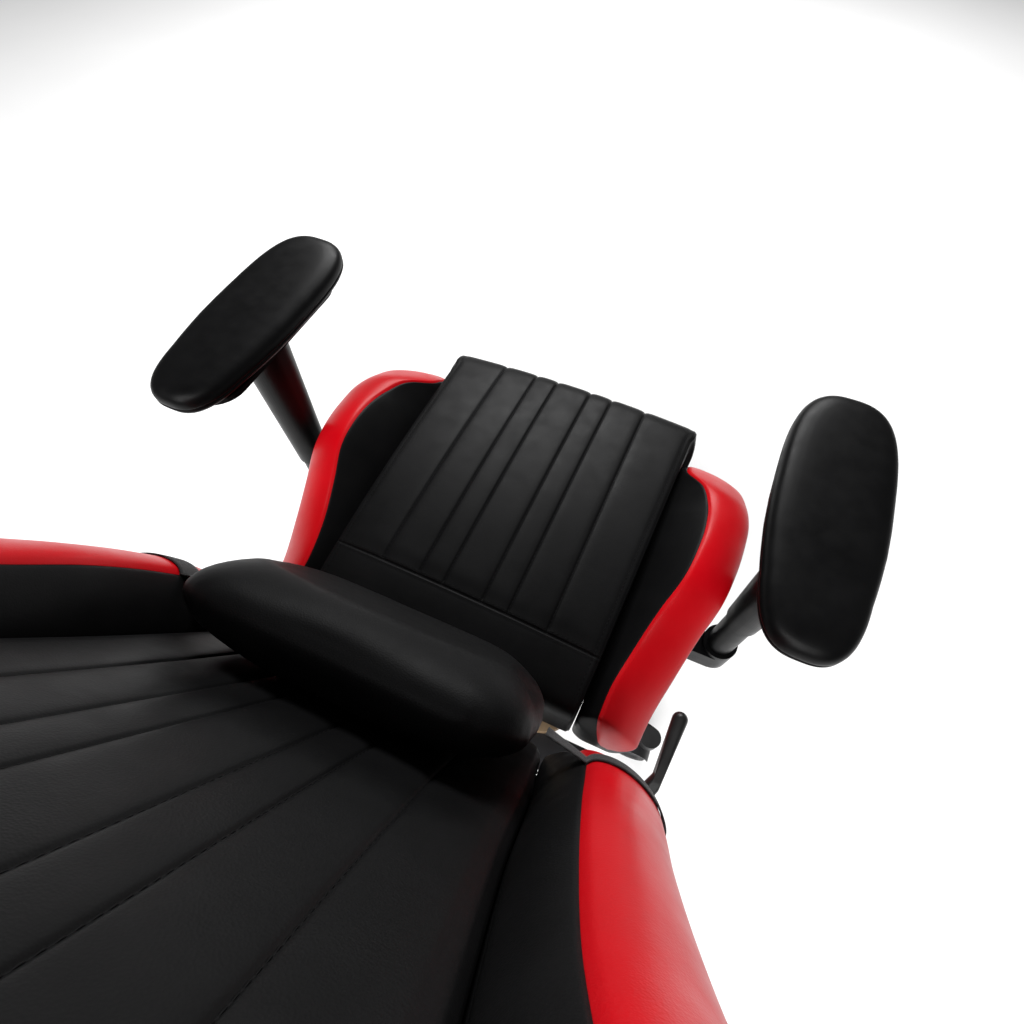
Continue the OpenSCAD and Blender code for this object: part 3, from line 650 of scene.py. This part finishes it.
def make_seat_bolster(side, sign, set_back):
    """One seat bolster; set_back is how far the tip of its cover lies behind its usual place."""
    rows = np.r_[np.linspace(-0.209, -0.15, 34), np.linspace(-0.148, 0.19, 110),
                 np.linspace(0.191, 0.2, 10)]
    x_in, z_in, x_out, z_out = smooth_rows(SEAT_BOLSTER, rows).T
    low = np.full(len(rows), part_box(f"seat_bolster_{side}")[0][2])
    wall_x = seat_half(rows) + 0.0007
    x_in = np.maximum(x_in, wall_x + 0.004)
    z_wall = np.minimum(SEAT_H - 0.036, SEAT_H + z_in - 0.004)
    corners = [np.column_stack(pair) for pair in (
        (wall_x + 0.0012, low), (wall_x, z_wall), (x_in, SEAT_H + z_in), (x_out, SEAT_H + z_out),
        (x_out - 0.014, low))]
    bulges = (np.interp(rows, [-0.213, -0.14, -0.08, 0.05, 0.2], [0, 1, 5, 5, 2]) * MILLI,
              np.interp(rows, [-0.213, -0.18, -0.12, 0.0, 0.10, 0.20], [3, 8, 10, 9, 8, 7]) * MILLI,
              np.full(len(rows), 0.003))
    rings, zones = bolster_rings(corners, bulges)
    ring = round_ends(rings, (corners[3] + corners[0]) / 2, rows, 0.02, 0.012)
    at = rows + set_back * np.clip((-0.10 - rows) / 0.10, 0, 1) ** 1.5
    y = np.broadcast_to(at[:, None], ring.shape[:2])
    grid = np.stack([sign * ring[..., 0], y, ring[..., 1]], axis=-1)
    finish_soft(closed_skin(f"seat_bolster_cover_{side}", grid, [BLACK_LEATHER, RED_LEATHER], zones),
                "seat", "red_leather", f"seat_bolster_{side}")


make_seat_bolster("left", 1, -1 * MILLI)
make_seat_bolster("right", -1, 6 * MILLI)

# ---------------------------------------------------------------- backrest

# The backrest by height above its hinge: half widths of the middle cushion and of the whole back,
# and how far the side bolsters stand forward
BACK = [
    [0.020, 0.146, 0.220, 0.030], [0.046, 0.146, 0.226, 0.040], [0.066, 0.147, 0.234, 0.062],
    [0.105, 0.148, 0.239, 0.076], [0.150, 0.150, 0.244, 0.088], [0.215, 0.150, 0.242, 0.095],
    [0.280, 0.150, 0.240, 0.095], [0.340, 0.152, 0.245, 0.088], [0.400, 0.155, 0.252, 0.085],
    [0.450, 0.158, 0.260, 0.090], [0.500, 0.160, 0.267, 0.099], [0.560, 0.162, 0.271, 0.105],
    [0.610, 0.150, 0.262, 0.098], [0.660, 0.137, 0.232, 0.084], [0.710, 0.118, 0.197, 0.072],
    [0.760, 0.109, 0.175, 0.064], [0.800, 0.102, 0.162, 0.054], [0.826, 0.092, 0.147, 0.043],
    [0.838, 0.088, 0.128, 0.034]]


def on_back(grid):
    """Turns points of (x, height up the back, depth forward) into places in the chair's frame."""
    up, ahead = grid[..., 1], grid[..., 2]
    return np.stack([grid[..., 0], HINGE[1] - ahead * math.cos(LEAN) + up * math.sin(LEAN),
                     HINGE[2] + ahead * math.sin(LEAN) + up * math.cos(LEAN)], axis=-1)


def back_cushion_half(up):
    """Half width of the back's middle cushion at a height above the hinge."""
    return smooth_rows(BACK, np.clip(up, 0.020, 0.826))[:, 0]


def back_side_view():
    """Side-view loop of the back cushion: rolled lower and upper ends, flat behind."""
    corners = np.array([[0.800, 0.040], [0.70, 0.0415], [0.56, 0.042], [0.35, 0.0425], [0.15, 0.042],
                        [0.060, 0.041], [0.036, 0.038], [0.024, 0.030], [0.021, 0.016],
                        [0.024, 0.003], [0.060, 0.002], [0.78, 0.002], [0.818, 0.003],
                        [0.825, 0.014], [0.822, 0.028], [0.814, 0.036]])
    return crowd(even_loop(corners, 1400, 60), 620, HEAD_SEAM, 0.014, 4.0)


HEAD_SEAM = 0.640


def back_on_front(loop):
    """1 on the front face, falling to 0 behind and at both ends."""
    return np.clip(normals_2d(loop)[:, 1] * 3 - 1, 0, 1) * (loop[:, 1] > 0.02)


def back_cross_seam(loop):
    """The seam below the head panel: a notch with a rolled lip just above it."""
    gap = loop[:, 0] - HEAD_SEAM
    seam = 0.0016 * np.exp(-((gap - 0.0055) / 0.004) ** 2) - 0.0020 * np.exp(-(gap / 0.0014) ** 2)
    return np.where(loop[:, 1] > 0.02, seam, 0.0)


def back_seams(loop):
    """Channels run from the lower roll up to the head panel's seam."""
    below = 1 / (1 + np.exp(np.clip((loop[:, 0] - HEAD_SEAM + 0.002) / 0.0012, -50, 50)))
    return back_on_front(loop) * below


def back_crowned(grid):
    """Domes the cushion forward by 8.5 mm over its width, then lays it on the back."""
    wide = smooth_rows(BACK, grid[..., 1].ravel())[:, 0].reshape(grid.shape[:2])
    share = np.clip(1 - (grid[..., 0] / wide) ** 2, 0, 1)
    domed = grid.copy()
    domed[..., 2] += 0.0085 * share * np.clip((grid[..., 2] - 0.01) / 0.03, 0, 1)
    return on_back(domed)


def make_back_cushion():
    loop = back_side_view()
    grid = channelled(loop, back_cushion_half, back_seams, back_cross_seam, back_crowned, corner=0.010,
                      side_bulge=0.0002)
    finish_soft(closed_skin("back_cover", grid, [BLACK_LEATHER]), "back", "black_leather",
                "back_cushion")
    normal = grid_normals(grid)
    below = (loop[:, 0] < HEAD_SEAM - 0.003) & (back_on_front(loop) > 0.95)
    places = [sew(grid[seam_row(c)][below], normal[seam_row(c)][below]) for c in CHANNELS]
    column = int(np.argmin(np.abs(loop[:, 0] - HEAD_SEAM + 0.0036) + (loop[:, 1] < 0.02)))
    across = slice(SIDE_ROWS + 2, -SIDE_ROWS - 2)
    places.append(sew(grid[across, column], normal[across, column]))
    stitches = joined_copies("back_stitches", STITCH_POINTS, STITCH_FACES, np.concatenate(places),
                             [BLACK_THREAD])
    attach(stitches, "back")


def back_bolster_rings():
    """Rings of one back bolster in (x, depth forward), their heights, and each column's material."""
    up = np.r_[np.linspace(0.047, 0.075, 24), np.linspace(0.078, 0.79, 190),
               np.linspace(0.793, 0.831, 28)]
    a, b, peak = smooth_rows(BACK, up).T
    b = np.maximum(b, a + 0.036)
    wide = b - a
    zero = np.full(len(up), 0.001)
    corners = [np.column_stack(pair) for pair in (
        (a + 0.001, zero), (a + 0.001, np.minimum(0.036, 0.62 * peak)), (a + 0.30 * wide, 0.84 * peak),
        (b - 0.03 * wide, 0.58 * peak), (b - 0.002, zero))]
    bulges = (0.05 * wide, 0.17 * wide, np.full(len(up), 0.002))
    rings, zones = bolster_rings(corners, bulges)
    middle = np.column_stack([(a + b) / 2, 0.3 * peak])
    return round_ends(rings, middle, up, 0.016, 0.02), up, zones


def make_back_bolster(side, sign):
    ring, up, zones = back_bolster_rings()
    height = np.broadcast_to(up[:, None], ring.shape[:2])
    grid = on_back(np.stack([sign * ring[..., 0], height, ring[..., 1]], axis=-1))
    finish_soft(closed_skin(f"back_bolster_cover_{side}", grid, [BLACK_LEATHER, RED_LEATHER], zones),
                "back", "red_leather", f"back_bolster_{side}")


def make_back_panel():
    """The back's rear cover: the whole outline carried from the front edge round to a domed rear.

    Rings are the outline shrunk towards a centre line point by a share, from 0.9 at the front face
    out to 1 and back to nearly 0, while the depth follows a rounded edge and a shallow dome.
    """
    up = np.linspace(0.0485, 0.8375, 220)
    half = smooth_rows(BACK, up)[:, 1]
    low = np.linspace(-1, 1, 60)[1:-1]
    outline = np.concatenate([
        np.column_stack([half, up]), np.column_stack([-low * half[-1], np.full(58, up[-1])]),
        np.column_stack([-half[::-1], up[::-1]]), np.column_stack([low * half[0], np.full(58, up[0])])])
    outline = even_loop(outline, 420, 8)
    centre = np.array([0.0, 0.42])
    share = np.r_[0.90, 0.985, 0.997, np.full(8, 1.0), np.cos(np.linspace(0.02, 0.25, 8)),
                  np.linspace(0.955, 0.04, 30)]
    depth = np.r_[0.0, 0.0, 0.0008, np.linspace(0.002, 0.0225, 8), np.linspace(0.0235, 0.0295, 8),
                  0.0298 + 0.0020 * (1 - np.linspace(0.955, 0.04, 30) ** 2)]
    seam = 0.0012 * np.exp(-((share - 0.93) / 0.006) ** 2) * (depth > 0.028)
    flat = centre + (outline - centre) * share[:, None, None]
    grid = np.concatenate([flat, np.broadcast_to(-(depth - seam)[:, None, None],
                                                 (len(share), 420, 1))], axis=-1)
    finish_soft(closed_skin("back_rear_cover", on_back(grid), [BLACK_LEATHER]), "back",
                "black_leather", "back_panel", fill=1.0)


STRAP_UP, STRAP_WIDTH = 0.177, 0.031


def make_strap():
    """The elastic: from the pillow's side seams over the bolsters and across the rear cover.

    It spans straight to each bolster's roll, then follows the bolster's own rings, 1.3 mm off them.
    """
    ring, up, _ = back_bolster_rings()
    rows = np.flatnonzero(np.abs(up - STRAP_UP) < STRAP_WIDTH / 2)
    out = np.stack([normals_2d(r[::-1])[::-1] for r in ring[rows]])
    part = ring[rows] + 0.0013 * out
    keep = (ring[rows[0], :, 0] > 0.178) & (ring[rows[0], :, 1] > 0.004)
    part = part[:, keep]
    t = np.linspace(0, 1, 6, endpoint=False)[None, :, None]
    seam = np.array([0.144, 0.085])
    part = np.concatenate([seam + (part[:, :1] - seam) * t, part], axis=1)
    edge = part[:, -1]
    wrap = np.stack([np.column_stack([np.maximum(edge[:, 0], 0.2455) + dx, np.full(len(rows), d)])
                     for dx, d in ((0.0, 0.002), (0.0, -0.02), (-0.001, -0.029), (-0.006, -0.0331),
                                   (-0.03, -0.0338), (-0.12, -0.0340))], axis=1)
    half = np.concatenate([part, wrap], axis=1)
    path = np.concatenate([half, half[:, ::-1] * (-1, 1)], axis=1)
    height = np.broadcast_to(up[rows][:, None], path.shape[:2])
    grid = on_back(np.stack([path[..., 0], height, path[..., 1]], axis=-1))
    strap = open_skin("strap_elastic", grid, [ELASTIC])
    thick = strap.modifiers.new("thickness", "SOLIDIFY")
    thick.thickness = 0.0012
    thick.offset = 0.0
    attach(strap, "back")
    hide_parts("pillow_strap")


make_back_cushion()
make_back_bolster("left", 1)
make_back_bolster("right", -1)
make_back_panel()
make_strap()

# ---------------------------------------------------------------- lumbar pillow

# Depth of the pillow's rear face, the height of its middle, and its half width
PILLOW_LOW, PILLOW_MID, PILLOW_HALF = 0.0535, STRAP_UP, 0.152
PILLOW_FRONT = 0.121


def pillow_start():
    """A slim closed form: sections are rounded boxes whose size falls off towards both ends."""
    t = np.linspace(-1, 1, 61)
    a = np.linspace(0, 2 * math.pi, 72, endpoint=False)
    fall = (1 - np.abs(t) ** 5) ** 0.5
    tall = 0.010 + 0.089 * fall ** 0.55
    deep = 0.004 + 0.024 * fall
    c, s = np.cos(a), np.sin(a)
    x = np.broadcast_to((PILLOW_HALF - 0.006) * t[:, None], (61, 72))
    up = PILLOW_MID + tall[:, None] * np.sign(s) * np.abs(s) ** 0.6
    ahead = PILLOW_LOW + 0.033 + deep[:, None] * np.sign(c) * np.abs(c) ** 0.85
    return np.stack([x, up, ahead], axis=-1)


def stuffed(piece, voxel=0.005, pressure=4.0, cap=0.008):
    """Fills a closed cover by cloth simulation and gives the points of the result.

    The cover is remeshed evenly, swells for 20 steps with no gravity, is relaxed, and no point moves
    further than cap.
    """
    bpy.context.view_layer.objects.active = piece
    remesh = piece.modifiers.new("even mesh", "REMESH")
    remesh.mode = "VOXEL"
    remesh.voxel_size = voxel
    piece.select_set(True)
    bpy.ops.object.modifier_apply(modifier=remesh.name)
    start = np.empty(len(piece.data.vertices) * 3, np.float32)
    piece.data.vertices.foreach_get("co", start)
    cloth = piece.modifiers.new("stuffing", "CLOTH")
    cloth.settings.use_pressure = True
    cloth.settings.uniform_pressure_force = pressure
    cloth.settings.effector_weights.gravity = 0
    cloth.settings.quality = 6
    cloth.settings.tension_stiffness = 25
    cloth.settings.compression_stiffness = 25
    relax = piece.modifiers.new("relaxed", "SMOOTH")
    relax.factor = 0.5
    relax.iterations = 60
    scene = bpy.context.scene
    for step in range(1, 21):
        scene.frame_set(step)
    settled = piece.evaluated_get(bpy.context.evaluated_depsgraph_get())
    end = np.empty_like(start)
    settled.data.vertices.foreach_get("co", end)
    piece.modifiers.remove(relax)
    piece.modifiers.remove(cloth)
    scene.frame_set(1)
    move = (end - start).reshape(-1, 3)
    far = np.linalg.norm(move, axis=1)[:, None]
    return start.reshape(-1, 3) + move * np.minimum(1, cap / np.maximum(far, 1e-9))


def make_pillow():
    grid = pillow_start()
    piece = closed_skin("pillow_cover", on_back(grid), [PILLOW_LEATHER])
    points = stuffed(piece)
    # Flat where it rests: nothing goes further back than the back cushion's face.
    ahead = ((HINGE[1] - points[:, 1]) * math.cos(LEAN) + (points[:, 2] - HINGE[2]) * math.sin(LEAN))
    short = np.clip(PILLOW_LOW - ahead, 0, None)
    over = np.clip(ahead - PILLOW_FRONT, 0, None)
    points = points + (short - over)[:, None] * np.array([0, -math.cos(LEAN), math.sin(LEAN)])
    piece.data.vertices.foreach_set("co", points.astype(np.float32).ravel())
    piece.data.polygons.foreach_set("use_smooth", np.ones(len(piece.data.polygons), bool))
    piece.data.update()
    rounder = piece.modifiers.new("rounder", "SUBSURF")
    rounder.levels = rounder.render_levels = 1
    finish_soft(piece, "back", "black_leather", "lumbar_pillow", fill=0.8)


make_pillow()

# ---------------------------------------------------------------- armrest pads


def make_pad(side, sign, trim, aside):
    """A pad's rings, from its underside over a parting groove to the domed top.

    Each ring is the plan outline drawn in by an inset: a rounded oblong that narrows by 11 percent
    over its rear part. The skin ends twice trim short of the solid at the rear, and sits aside metres
    further from the middle of the chair.
    """
    low, high = (np.array(c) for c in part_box(f"arm_pad_{side}"))
    middle, size = (low + high) / 2, (high - low) / 2
    middle[1], size[1] = middle[1] - trim, size[1] - trim
    rise = np.array([0, 1.2, 3.2, 5.8, 7.2, 7.9, 8.5, 9.1, 9.8, 11.2, 14, 17, 19.6, 21.6, 23.2, 24.4,
                     25.2, 25.6, 25.8, 25.9]) * MILLI
    inset = np.array([9, 4.2, 1.4, 0.2, 0.1, 0.6, 1.3, 0.6, 0.1, 0, 0.1, 1.0, 2.6, 4.8, 7.8, 12, 18,
                      26, 34, 42]) * MILLI
    a = np.linspace(0, 2 * math.pi, 160, endpoint=False)
    c, s = np.cos(a), np.sin(a)
    y = (size[1] - inset)[:, None] * np.sign(s) * np.abs(s) ** 0.5
    share = 1 - 0.11 * np.clip((y - 0.015) / 0.06, 0, 1)
    x = (size[0] - inset)[:, None] * share * np.sign(c) * np.abs(c) ** 0.72
    z = np.broadcast_to((low[2] + rise)[:, None], x.shape)
    grid = np.stack([middle[0] + sign * (aside + x), middle[1] + y, z], axis=-1)
    piece = closed_skin(f"pad_skin_{side}", grid, [PAD_SKIN])
    finish_soft(piece, f"pad_{side}", "pad_rubber", f"arm_pad_{side}", fill=1.0)


make_pad("left", 1, 4 * MILLI, 3.5 * MILLI)
make_pad("right", -1, 2.5 * MILLI, 0)

# ---------------------------------------------------------------- floor and lights


def make_floor():
    t = np.linspace(-1, 1, 2)
    x, y = np.meshgrid(t * 12, t * 12, indexing="ij")
    floor = open_skin("floor", np.stack([x, y, 0 * x], axis=-1), [])
    f = Finish("pale floor").set(Roughness=0.9)
    f.colours(f.noise(3, 2), (0.96, 0.96, 0.96), (0.98, 0.98, 0.98))
    floor.data.materials.append(f.material)


def area_light(name, place, target, size, watts):
    data = bpy.data.lights.new(name, "AREA")
    data.shape = "RECTANGLE"
    data.size, data.size_y = size
    data.energy = watts
    light = bpy.data.objects.new(name, data)
    light.location = place
    light.rotation_euler = (Vector(target) - Vector(place)).to_track_quat("-Z", "Y").to_euler()
    bpy.context.collection.objects.link(light)


def set_world(strength):
    world = bpy.data.worlds.new("studio")
    world.use_nodes = True
    background = world.node_tree.nodes["Background"]
    background.inputs["Color"].default_value = (1, 1, 1, 1)
    background.inputs["Strength"].default_value = strength
    bpy.context.scene.world = world


make_floor()
area_light("window ahead", (0.7, -2.8, 2.4), (0, 0, 0.5), (2.4, 1.0), 115)
area_light("behind the camera", (0.2, 2.6, 3.2), (0, 0, 0.3), (3.4, 2.8), 235)
set_world(0.10)
bpy.context.scene.view_settings.view_transform = "Standard"
